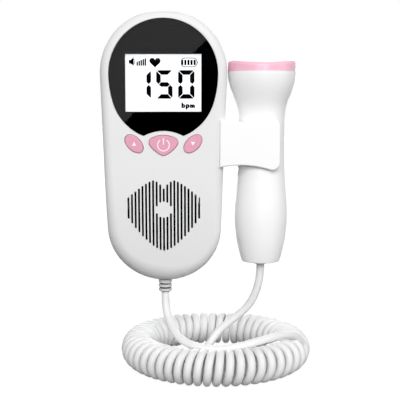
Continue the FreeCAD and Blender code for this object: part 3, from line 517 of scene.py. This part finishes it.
def dress_nodes():
    """Every CAD node takes the finish of its slot in the record."""
    for part in frame["record"]["subparts"]:
        piece = nodes[part["node"]]
        piece.data.materials.clear()
        piece.data.materials.append(finishes[part["material_slot"]])


dress_nodes()
make_cord(finishes["cord_white"])


# ---------------------------------------------------------------- flat shapes

# Outlines are lists of pairs, which the marks and prints take as (x, z) in mm.

def block(low, high):
    """Rectangle between two corners."""
    (x0, z0), (x1, z1) = low, high
    return [(x0, z0), (x1, z0), (x1, z1), (x0, z1)]


def arc_band(centre, r, width, start, end, steps):
    """Band along an arc; start and end in degrees from +X towards +Z."""
    x, z = centre
    turns = [math.radians(start + (end - start) * k / steps) for k in range(steps + 1)]
    outer = [(x + (r + width / 2) * math.cos(a), z + (r + width / 2) * math.sin(a)) for a in turns]
    inner = [(x + (r - width / 2) * math.cos(a), z + (r - width / 2) * math.sin(a)) for a in turns]
    return outer + inner[::-1]


def round_band(low, high, r, width, steps):
    """Thin frame with round corners, as four corner arcs and four straight bands."""
    (x0, z0), (x1, z1) = low, high
    half = width / 2
    corners = ((x1 - r, z1 - r), (x0 + r, z1 - r), (x0 + r, z0 + r), (x1 - r, z0 + r))
    bands = [arc_band(centre, r, width, 90.0 * k, 90.0 * k + 90.0, steps)
             for k, centre in enumerate(corners)]
    bands += [block((x0 + r, z - half), (x1 - r, z + half)) for z in (z0, z1)]
    bands += [block((x - half, z0 + r), (x + half, z1 - r)) for x in (x0, x1)]
    return bands


def heart_outline(centre, size, steps):
    """Heart about its centre, point down, by the usual heart curve."""
    x, z = centre
    width, height = size
    turns = [2.0 * math.pi * k / steps for k in range(steps)]
    rises = [13.0 * math.cos(a) - 5.0 * math.cos(2.0 * a) - 2.0 * math.cos(3.0 * a) - math.cos(4.0 * a)
             for a in turns]
    low, high = min(rises), max(rises)
    return [(x + math.sin(a) ** 3 * width / 2.0, z + ((rise - low) / (high - low) - 0.5) * height)
            for a, rise in zip(turns, rises)]


def slab(name, outlines, front, depth, material, body):
    """Flat marks of even depth, in mm, whose backs lie on the carrier's face at front."""
    points = []
    faces = []
    for outline in outlines:
        area = sum(a[0] * b[1] - b[0] * a[1] for a, b in zip(outline, outline[1:] + outline[:1]))
        turned = outline if area > 0 else outline[::-1]
        start = len(points)
        count = len(turned)
        points += [(x * mm, (front - depth) * mm, z * mm) for x, z in turned]
        points += [(x * mm, front * mm, z * mm) for x, z in turned]
        faces.append(tuple(start + k for k in range(count)))
        faces.append(tuple(start + count + k for k in reversed(range(count))))
        for k in range(count):
            after = (k + 1) % count
            faces.append((start + after, start + k, start + count + k, start + count + after))
    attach(mesh_object(name, points, faces, material, smooth=False), body)


def front_of(node):
    """Where the front of a CAD node lies along Y, in mm."""
    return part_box(node)[0][1] / mm


# ---------------------------------------------------------------- rows of bars

def bar_row_tree():
    """Geometry Nodes: a row of upright bars on one base line, rising from first to last."""
    tree = new_tree("bar_row", "GeometryNodeTree",
                    [("Count", "Int", 5), ("Pitch", "Float", 1.0 * mm), ("Width", "Float", 0.6 * mm),
                     ("First height", "Float", 2.0 * mm), ("Last height", "Float", 2.0 * mm),
                     ("Depth", "Float", 0.05 * mm), ("Ink", "Material", None)],
                    [("Geometry", "Geometry")])
    source = add(tree, "NodeGroupInput").outputs
    step = add(tree, "ShaderNodeCombineXYZ", {"X": source["Pitch"]})
    line = add(tree, "GeometryNodeMeshLine", {"Count": source["Count"], "Offset": step.outputs[0]},
               mode="OFFSET")
    index = add(tree, "GeometryNodeInputIndex").outputs[0]
    share = worked_out(tree, "DIVIDE", index, worked_out(tree, "SUBTRACT", source["Count"], 1.0))
    rise = worked_out(tree, "SUBTRACT", source["Last height"], source["First height"])
    height = worked_out(tree, "MULTIPLY_ADD", share, rise, source["First height"])
    size = add(tree, "ShaderNodeCombineXYZ",
               {"X": source["Width"], "Y": source["Depth"], "Z": height})
    cube = add(tree, "GeometryNodeMeshCube", {"Size": (1.0, 1.0, 1.0)})
    raised = add(tree, "GeometryNodeTransform",
                 {"Geometry": cube.outputs["Mesh"], "Translation": (0.0, 0.0, 0.5)})
    bars = add(tree, "GeometryNodeInstanceOnPoints",
               {"Points": line.outputs["Mesh"], "Instance": raised.outputs["Geometry"],
                "Scale": size.outputs[0]})
    real = add(tree, "GeometryNodeRealizeInstances", {"Geometry": bars.outputs["Instances"]})
    inked = add(tree, "GeometryNodeSetMaterial",
                {"Geometry": real.outputs["Geometry"], "Material": source["Ink"]})
    add(tree, "NodeGroupOutput", {"Geometry": inked.outputs["Geometry"]})
    return tree


bar_tree = bar_row_tree()


def bar_row(name, foot, front, values, ink, body):
    """Plain mesh of one row of bars; foot is the (x, z) of the first bar, front the carrier's face."""
    holder = mesh_object(name + "_maker", [], [])
    maker = holder.modifiers.new("bars", "NODES")
    maker.node_group = bar_tree
    sockets = {item.name: item.identifier for item in bar_tree.interface.items_tree
               if item.in_out == "INPUT"}
    for label, value in values.items():
        maker[sockets[label]] = value
    maker[sockets["Ink"]] = ink
    bpy.context.view_layer.update()
    made = bpy.data.meshes.new_from_object(holder.evaluated_get(bpy.context.evaluated_depsgraph_get()))
    bpy.data.objects.remove(holder)
    first = Vector((foot[0] * mm, front * mm - values["Depth"] / 2, foot[1] * mm))
    for vertex in made.vertices:
        vertex.co += first
    made.name = name
    piece = bpy.data.objects.new(name, made)
    bpy.context.scene.collection.objects.link(piece)
    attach(piece, body)


# ---------------------------------------------------------------- the display's marks

# Places and sizes in mm, but for the rows of bars, which their tree takes in metres.
mark_depth = 0.05
display_front = front_of("lcd_panel")

digit_lefts = (-13.95, -3.48, 7.18)
digit_top = 37.75
digit_size = (7.9, 13.7)
stroke = 2.15
stroke_gap = 0.2         # sideways between the mitred ends of two segments
corner_cut = 0.75        # how much of a digit's outer corner is cut away on each side
lit_segments = (("upper_right", "lower_right"),
                ("top", "upper_left", "middle", "lower_right", "bottom"),
                ("top", "upper_left", "upper_right", "lower_left", "lower_right", "bottom"))

speaker_back = -16.65
speaker_neck = -15.75
speaker_mouth = -14.4
speaker_box = (40.95, 42.75)
speaker_horn = (39.8, 44.0)
wave_centre = (-15.5, 41.9)
wave_r = 1.65
wave_line = 0.3
wave_spread = 48.0       # degrees to each side
wave_steps = 10

strength_foot = (-12.6, 39.95)
strength_bars = {"Count": 5, "Pitch": 0.98 * mm, "Width": 0.72 * mm, "First height": 1.9 * mm,
                 "Last height": 3.5 * mm, "Depth": mark_depth * mm}

heart_centre = (-4.03, 41.22)
heart_size = (5.4, 4.9)
heart_steps = 48

charge_foot = (9.2, 40.25)
charge_bars = {"Count": 5, "Pitch": 1.5 * mm, "Width": 1.02 * mm, "First height": 2.5 * mm,
               "Last height": 2.5 * mm, "Depth": mark_depth * mm}
battery_case = ((8.7, 39.4), (16.3, 43.6))
battery_corner = 1.7
battery_line = 0.34
battery_tip = ((16.47, 41.1), (16.75, 41.9))
corner_steps = 8

letter_stroke = 0.78
word_base = 19.6
word_foot = 18.8         # lower end of the p
word_top = 21.25         # top of the small letters
word_head = 22.2         # upper end of the b
b_stem = 9.15
p_stem = 11.2
m_stem = 13.25
bowl_r = 0.56
bowl_steps = 28
arch_r = 0.43
arch_steps = 12


def segment_outlines(left, top):
    """The seven segments of one digit, with mitred ends, by name."""
    width, height = digit_size
    middle = height / 2
    half = stroke / 2
    inset = stroke + stroke_gap
    far = (corner_cut + stroke_gap) / 2
    near = (corner_cut - stroke_gap) / 2
    end = middle - half - stroke_gap
    shapes = {
        "top": [(corner_cut, 0), (width - corner_cut, 0), (width - far, near), (width - inset, stroke),
                (inset, stroke), (far, near)],
        "upper_left": [(0, corner_cut), (near, far), (stroke, inset), (stroke, end),
                       (half, middle - stroke_gap), (0, end)],
        "middle": [(half + stroke_gap, middle), (inset, middle - half), (width - inset, middle - half),
                   (width - half - stroke_gap, middle), (width - inset, middle + half),
                   (inset, middle + half)],
    }
    shapes["upper_right"] = [(width - x, z) for x, z in shapes["upper_left"]]
    for name in ("left", "right"):
        shapes["lower_" + name] = [(x, height - z) for x, z in shapes["upper_" + name]]
    shapes["bottom"] = [(x, height - z) for x, z in shapes["top"]]
    return {name: [(left + x, top - z) for x, z in shape] for name, shape in shapes.items()}


def make_digits(front):
    """The reading, 150."""
    outlines = []
    for left, lit in zip(digit_lefts, lit_segments):
        shapes = segment_outlines(left, digit_top)
        outlines += [shapes[name] for name in lit]
    slab("display_digits", outlines, front, mark_depth, ink_black, "unit")


def make_symbols(front):
    """Loudspeaker, strength bars, heart and battery along the display's top."""
    box_low, box_high = speaker_box
    horn_low, horn_high = speaker_horn
    speaker = [(speaker_back, box_high), (speaker_neck, box_high), (speaker_mouth, horn_high),
               (speaker_mouth, horn_low), (speaker_neck, box_low), (speaker_back, box_low)]
    slab("speaker_symbol", [speaker], front, mark_depth, ink_black, "unit")
    wave = arc_band(wave_centre, wave_r, wave_line, -wave_spread, wave_spread, wave_steps)
    slab("sound_symbol", [wave], front, mark_depth, ink_grey, "unit")
    bar_row("strength_bars", strength_foot, front, strength_bars, ink_black, "unit")
    heart = heart_outline(heart_centre, heart_size, heart_steps)
    slab("heart_symbol", [heart], front, mark_depth, ink_black, "unit")
    bar_row("charge_bars", charge_foot, front, charge_bars, ink_black, "unit")
    battery = round_band(*battery_case, battery_corner, battery_line, corner_steps)
    battery.append(block(*battery_tip))
    slab("battery_symbol", battery, front, mark_depth, ink_grey, "unit")


def stem(x, low, high):
    """One upright stroke of a letter."""
    half = letter_stroke / 2
    return block((x - half, low), (x + half, high))


def make_unit_word(front):
    """The unit of the reading, bpm, under the last digit."""
    bowl_z = (word_base + word_top) / 2
    shoulder_z = word_top - arch_r - letter_stroke / 2
    strokes = []
    for x, low, high in ((b_stem, word_base, word_head), (p_stem, word_foot, word_top)):
        strokes.append(stem(x, low, high))
        strokes.append(arc_band((x + bowl_r, bowl_z), bowl_r, letter_stroke, -180.0, 180.0, bowl_steps))
    strokes.append(stem(m_stem, word_base, word_top))
    for side in (1, 3):
        strokes.append(arc_band((m_stem + side * arch_r, shoulder_z), arch_r, letter_stroke,
                                0.0, 180.0, arch_steps))
        strokes.append(stem(m_stem + (side + 1) * arch_r, word_base, shoulder_z))
    slab("unit_word", strokes, front, mark_depth, ink_black, "unit")


make_digits(display_front)
make_symbols(display_front)
make_unit_word(display_front)


# ---------------------------------------------------------------- the buttons' prints

# Places and sizes in mm, on the front of each button.
print_depth = 0.03
raise_arrow = [(-15.35, 1.2), (-13.25, 1.2), (-14.3, 3.2)]
lower_arrow = [(13.2, 3.1), (15.5, 3.1), (14.35, 1.25)]
power_centre = (0.0, 1.55)
power_r = 2.85
power_line = 0.5
power_turn = (124.0, 416.0)   # degrees between which the ring is closed
power_steps = 40
power_bar = ((-0.25, 1.75), (0.25, 5.0))


def make_button_prints():
    """Arrows up and down, and the open ring with its bar on the power button."""
    power_ring = arc_band(power_centre, power_r, power_line, *power_turn, power_steps)
    for name, outlines, button in (("raise_print", [raise_arrow], "volume_up_button"),
                                   ("lower_print", [lower_arrow], "volume_down_button"),
                                   ("power_print", [power_ring, block(*power_bar)], "power_button")):
        slab(name, outlines, front_of(button), print_depth, icon_white, button)


make_button_prints()


# ---------------------------------------------------------------- studio

floor_z = -113.55 * mm
floor_reach = 6.0        # metres
floor_glow = 1.12        # its own light to the eye and to mirrors, enough to stay white
floor_shade = 0.9        # its colour where the shadow is seen
floor_dim = 0.04         # its colour to the light that reaches the object
shadow_share = 0.19      # share of its own lit shade in the floor's look, near the object
shadow_near = 0.08       # metres from the frame's origin, up to which that share holds
shadow_far = 0.5         # metres, where it has faded out

lens_front = front_of("display_window") * mm
card_y = -900.0 * mm     # the reflection cards' plane, behind the camera
card_step = 4.0 * mm     # how far one card lies in front of another
card_tone = 0.8

# Where the cards' edges show on the lens, in mm; grey meets black where x is z plus sheen_offset.
card_sides = (-40.0, 44.0)
card_ends = (-3.0, 72.0)
sheen_offset = -31.3

# The part of the display, in mm, that is kept free of the grey card.
window_sides = (-18.45, 18.45)
window_ends = (17.75, 45.45)

# Heights of the sky from level to straight up, and its tone at each.
sky_tones = ((0.0, 0.2), (0.4, 0.72), (1.0, 0.08))

# Each lamp's place and aim and its two sides in metres, and its power in watts.
lamps = (("front_lamp", (0.05, -1.3, 0.5), (0.03, 0.0, 0.0), (0.9, 0.9), 16.5),
         ("right_lamp", (1.2, -0.4, 0.25), (0.03, 0.0, 0.0), (0.7, 0.9), 2.6),
         ("back_lamp", (0.0, 1.25, 0.15), (0.02, 0.0, -0.02), (0.9, 0.9), 15.0))


def flat_card(name, corners, material):
    mesh_object(name, corners, [tuple(range(len(corners)))], material, smooth=False)


def seen_by_eye_and_mirrors(tree):
    """1 for the eye, for mirrors and through glass, 0 for light on its way to the object."""
    path = add(tree, "ShaderNodeLightPath").outputs
    seen = worked_out(tree, "MAXIMUM", path["Is Camera Ray"], path["Is Glossy Ray"])
    return worked_out(tree, "MAXIMUM", seen, path["Is Transmission Ray"])


def mixed(tree, share, first, second):
    """Shader that goes from the first to the second as share goes from 0 to 1."""
    inputs = {"Fac": share, 1: first.outputs[0], 2: second.outputs[0]}
    return add(tree, "ShaderNodeMixShader", inputs)


def floor_material():
    """Pale floor: white to the eye and to mirrors with the shadow near the object, dim to other light."""
    material, tree, shader = plain_material("floor_pale")
    tree.nodes.remove(shader)
    place = add(tree, "ShaderNodeTexCoord").outputs["Object"]
    away = add(tree, "ShaderNodeVectorMath", {0: place}, operation="LENGTH")
    share = add(tree, "ShaderNodeMapRange",
                {"Value": away.outputs["Value"], "From Min": shadow_near, "From Max": shadow_far,
                 "To Min": shadow_share, "To Max": 0.0}, interpolation_type="SMOOTHSTEP")
    glow = add(tree, "ShaderNodeEmission", {"Strength": floor_glow})
    lit = add(tree, "ShaderNodeBsdfDiffuse", {"Color": (floor_shade, floor_shade, floor_shade, 1.0)})
    dim = add(tree, "ShaderNodeBsdfDiffuse", {"Color": (floor_dim, floor_dim, floor_dim, 1.0)})
    shown = mixed(tree, share.outputs["Result"], glow, lit)
    final = mixed(tree, seen_by_eye_and_mirrors(tree), dim, shown)
    connect(tree, tree.nodes["Material Output"], {"Surface": final.outputs[0]})
    return material


def card_material(name, tone):
    """A card that only mirrors see."""
    material, tree, shader = plain_material(name)
    tree.nodes.remove(shader)
    mirror = add(tree, "ShaderNodeLightPath").outputs["Is Glossy Ray"]
    clear = add(tree, "ShaderNodeBsdfTransparent")
    glow = add(tree, "ShaderNodeEmission", {"Strength": tone})
    final = mixed(tree, mirror, clear, glow)
    connect(tree, tree.nodes["Material Output"], {"Surface": final.outputs[0]})
    material.cycles.emission_sampling = "NONE"
    return material


def mirrored(x, z, nearer=0.0):
    """Where on the cards' plane the lens shows its point (x, z) in mm reflected to the camera."""
    plane_y = card_y + nearer
    spread = (2.0 * lens_front - camera_place[1] - plane_y) / (lens_front - camera_place[1])
    return (camera_place[0] + (x * mm - camera_place[0]) * spread, plane_y,
            camera_place[2] + (z * mm - camera_place[2]) * spread)


def seen_on_lens(x, z):
    """Point of the lens front, in mm, through which the camera sees (x, z) on the display."""
    share = (lens_front - camera_place[1]) / (display_front * mm - camera_place[1])
    return (camera_place[0] / mm + (x - camera_place[0] / mm) * share,
            camera_place[2] / mm + (z - camera_place[2] / mm) * share)


def make_reflection_cards():
    """Cards behind the camera: the lens shows grey and black, and black over the lit window."""
    left, right = card_sides
    bottom, top = card_ends
    low_end = (bottom + sheen_offset, bottom)
    high_end = (top + sheen_offset, top)
    grey = [(left, bottom), low_end, high_end, (left, top)]
    black = [low_end, (right, bottom), (right, top), high_end]
    flat_card("grey_card", [mirrored(*p) for p in grey], card_material("card_grey", card_tone))
    flat_card("black_card", [mirrored(*p) for p in black], card_material("card_black", 0.0))
    window = block(*zip(window_sides, window_ends))
    flat_card("window_card", [mirrored(*seen_on_lens(*p), nearer=card_step) for p in window],
              card_material("card_window", 0.0))


def make_world():
    """White to the eye and to mirrors; to the object a plain sky, dimmer overhead."""
    world = bpy.data.worlds.new("studio")
    bpy.context.scene.world = world
    world.use_nodes = True
    tree = world.node_tree
    way = add(tree, "ShaderNodeTexCoord").outputs["Generated"]
    parts = add(tree, "ShaderNodeSeparateXYZ", {0: way})
    sky = add(tree, "ShaderNodeValToRGB", {"Fac": parts.outputs["Z"]})
    stops = sky.color_ramp.elements
    while len(stops) < len(sky_tones):
        stops.new(0.5)
    for stop, (height, tone) in zip(stops, sky_tones):
        stop.position = height
        stop.color = (tone, tone, tone, 1.0)
    strength = add(tree, "ShaderNodeMapRange",
                   {"Value": seen_by_eye_and_mirrors(tree), "To Min": sky.outputs["Color"], "To Max": 1.0})
    connect(tree, tree.nodes["Background"],
            {"Color": (1.0, 1.0, 1.0, 1.0), "Strength": strength.outputs[0]})


def soft_lamp(name, place, aim, size, power):
    data = bpy.data.lights.new(name, "AREA")
    data.shape = "RECTANGLE"
    data.size, data.size_y = size
    data.energy = power
    lamp = bpy.data.objects.new(name, data)
    lamp.location = place
    lamp.rotation_euler = (Vector(aim) - Vector(place)).to_track_quat("-Z", "Y").to_euler()
    bpy.context.scene.collection.objects.link(lamp)


def make_studio():
    """Floor, reflection cards, world and lamps."""
    floor = block((-floor_reach, -floor_reach), (floor_reach, floor_reach))
    flat_card("floor", [(x, y, floor_z) for x, y in floor], floor_material())
    make_reflection_cards()
    make_world()
    for lamp in lamps:
        soft_lamp(*lamp)
    bpy.context.scene.view_settings.view_transform = "Standard"


make_studio()
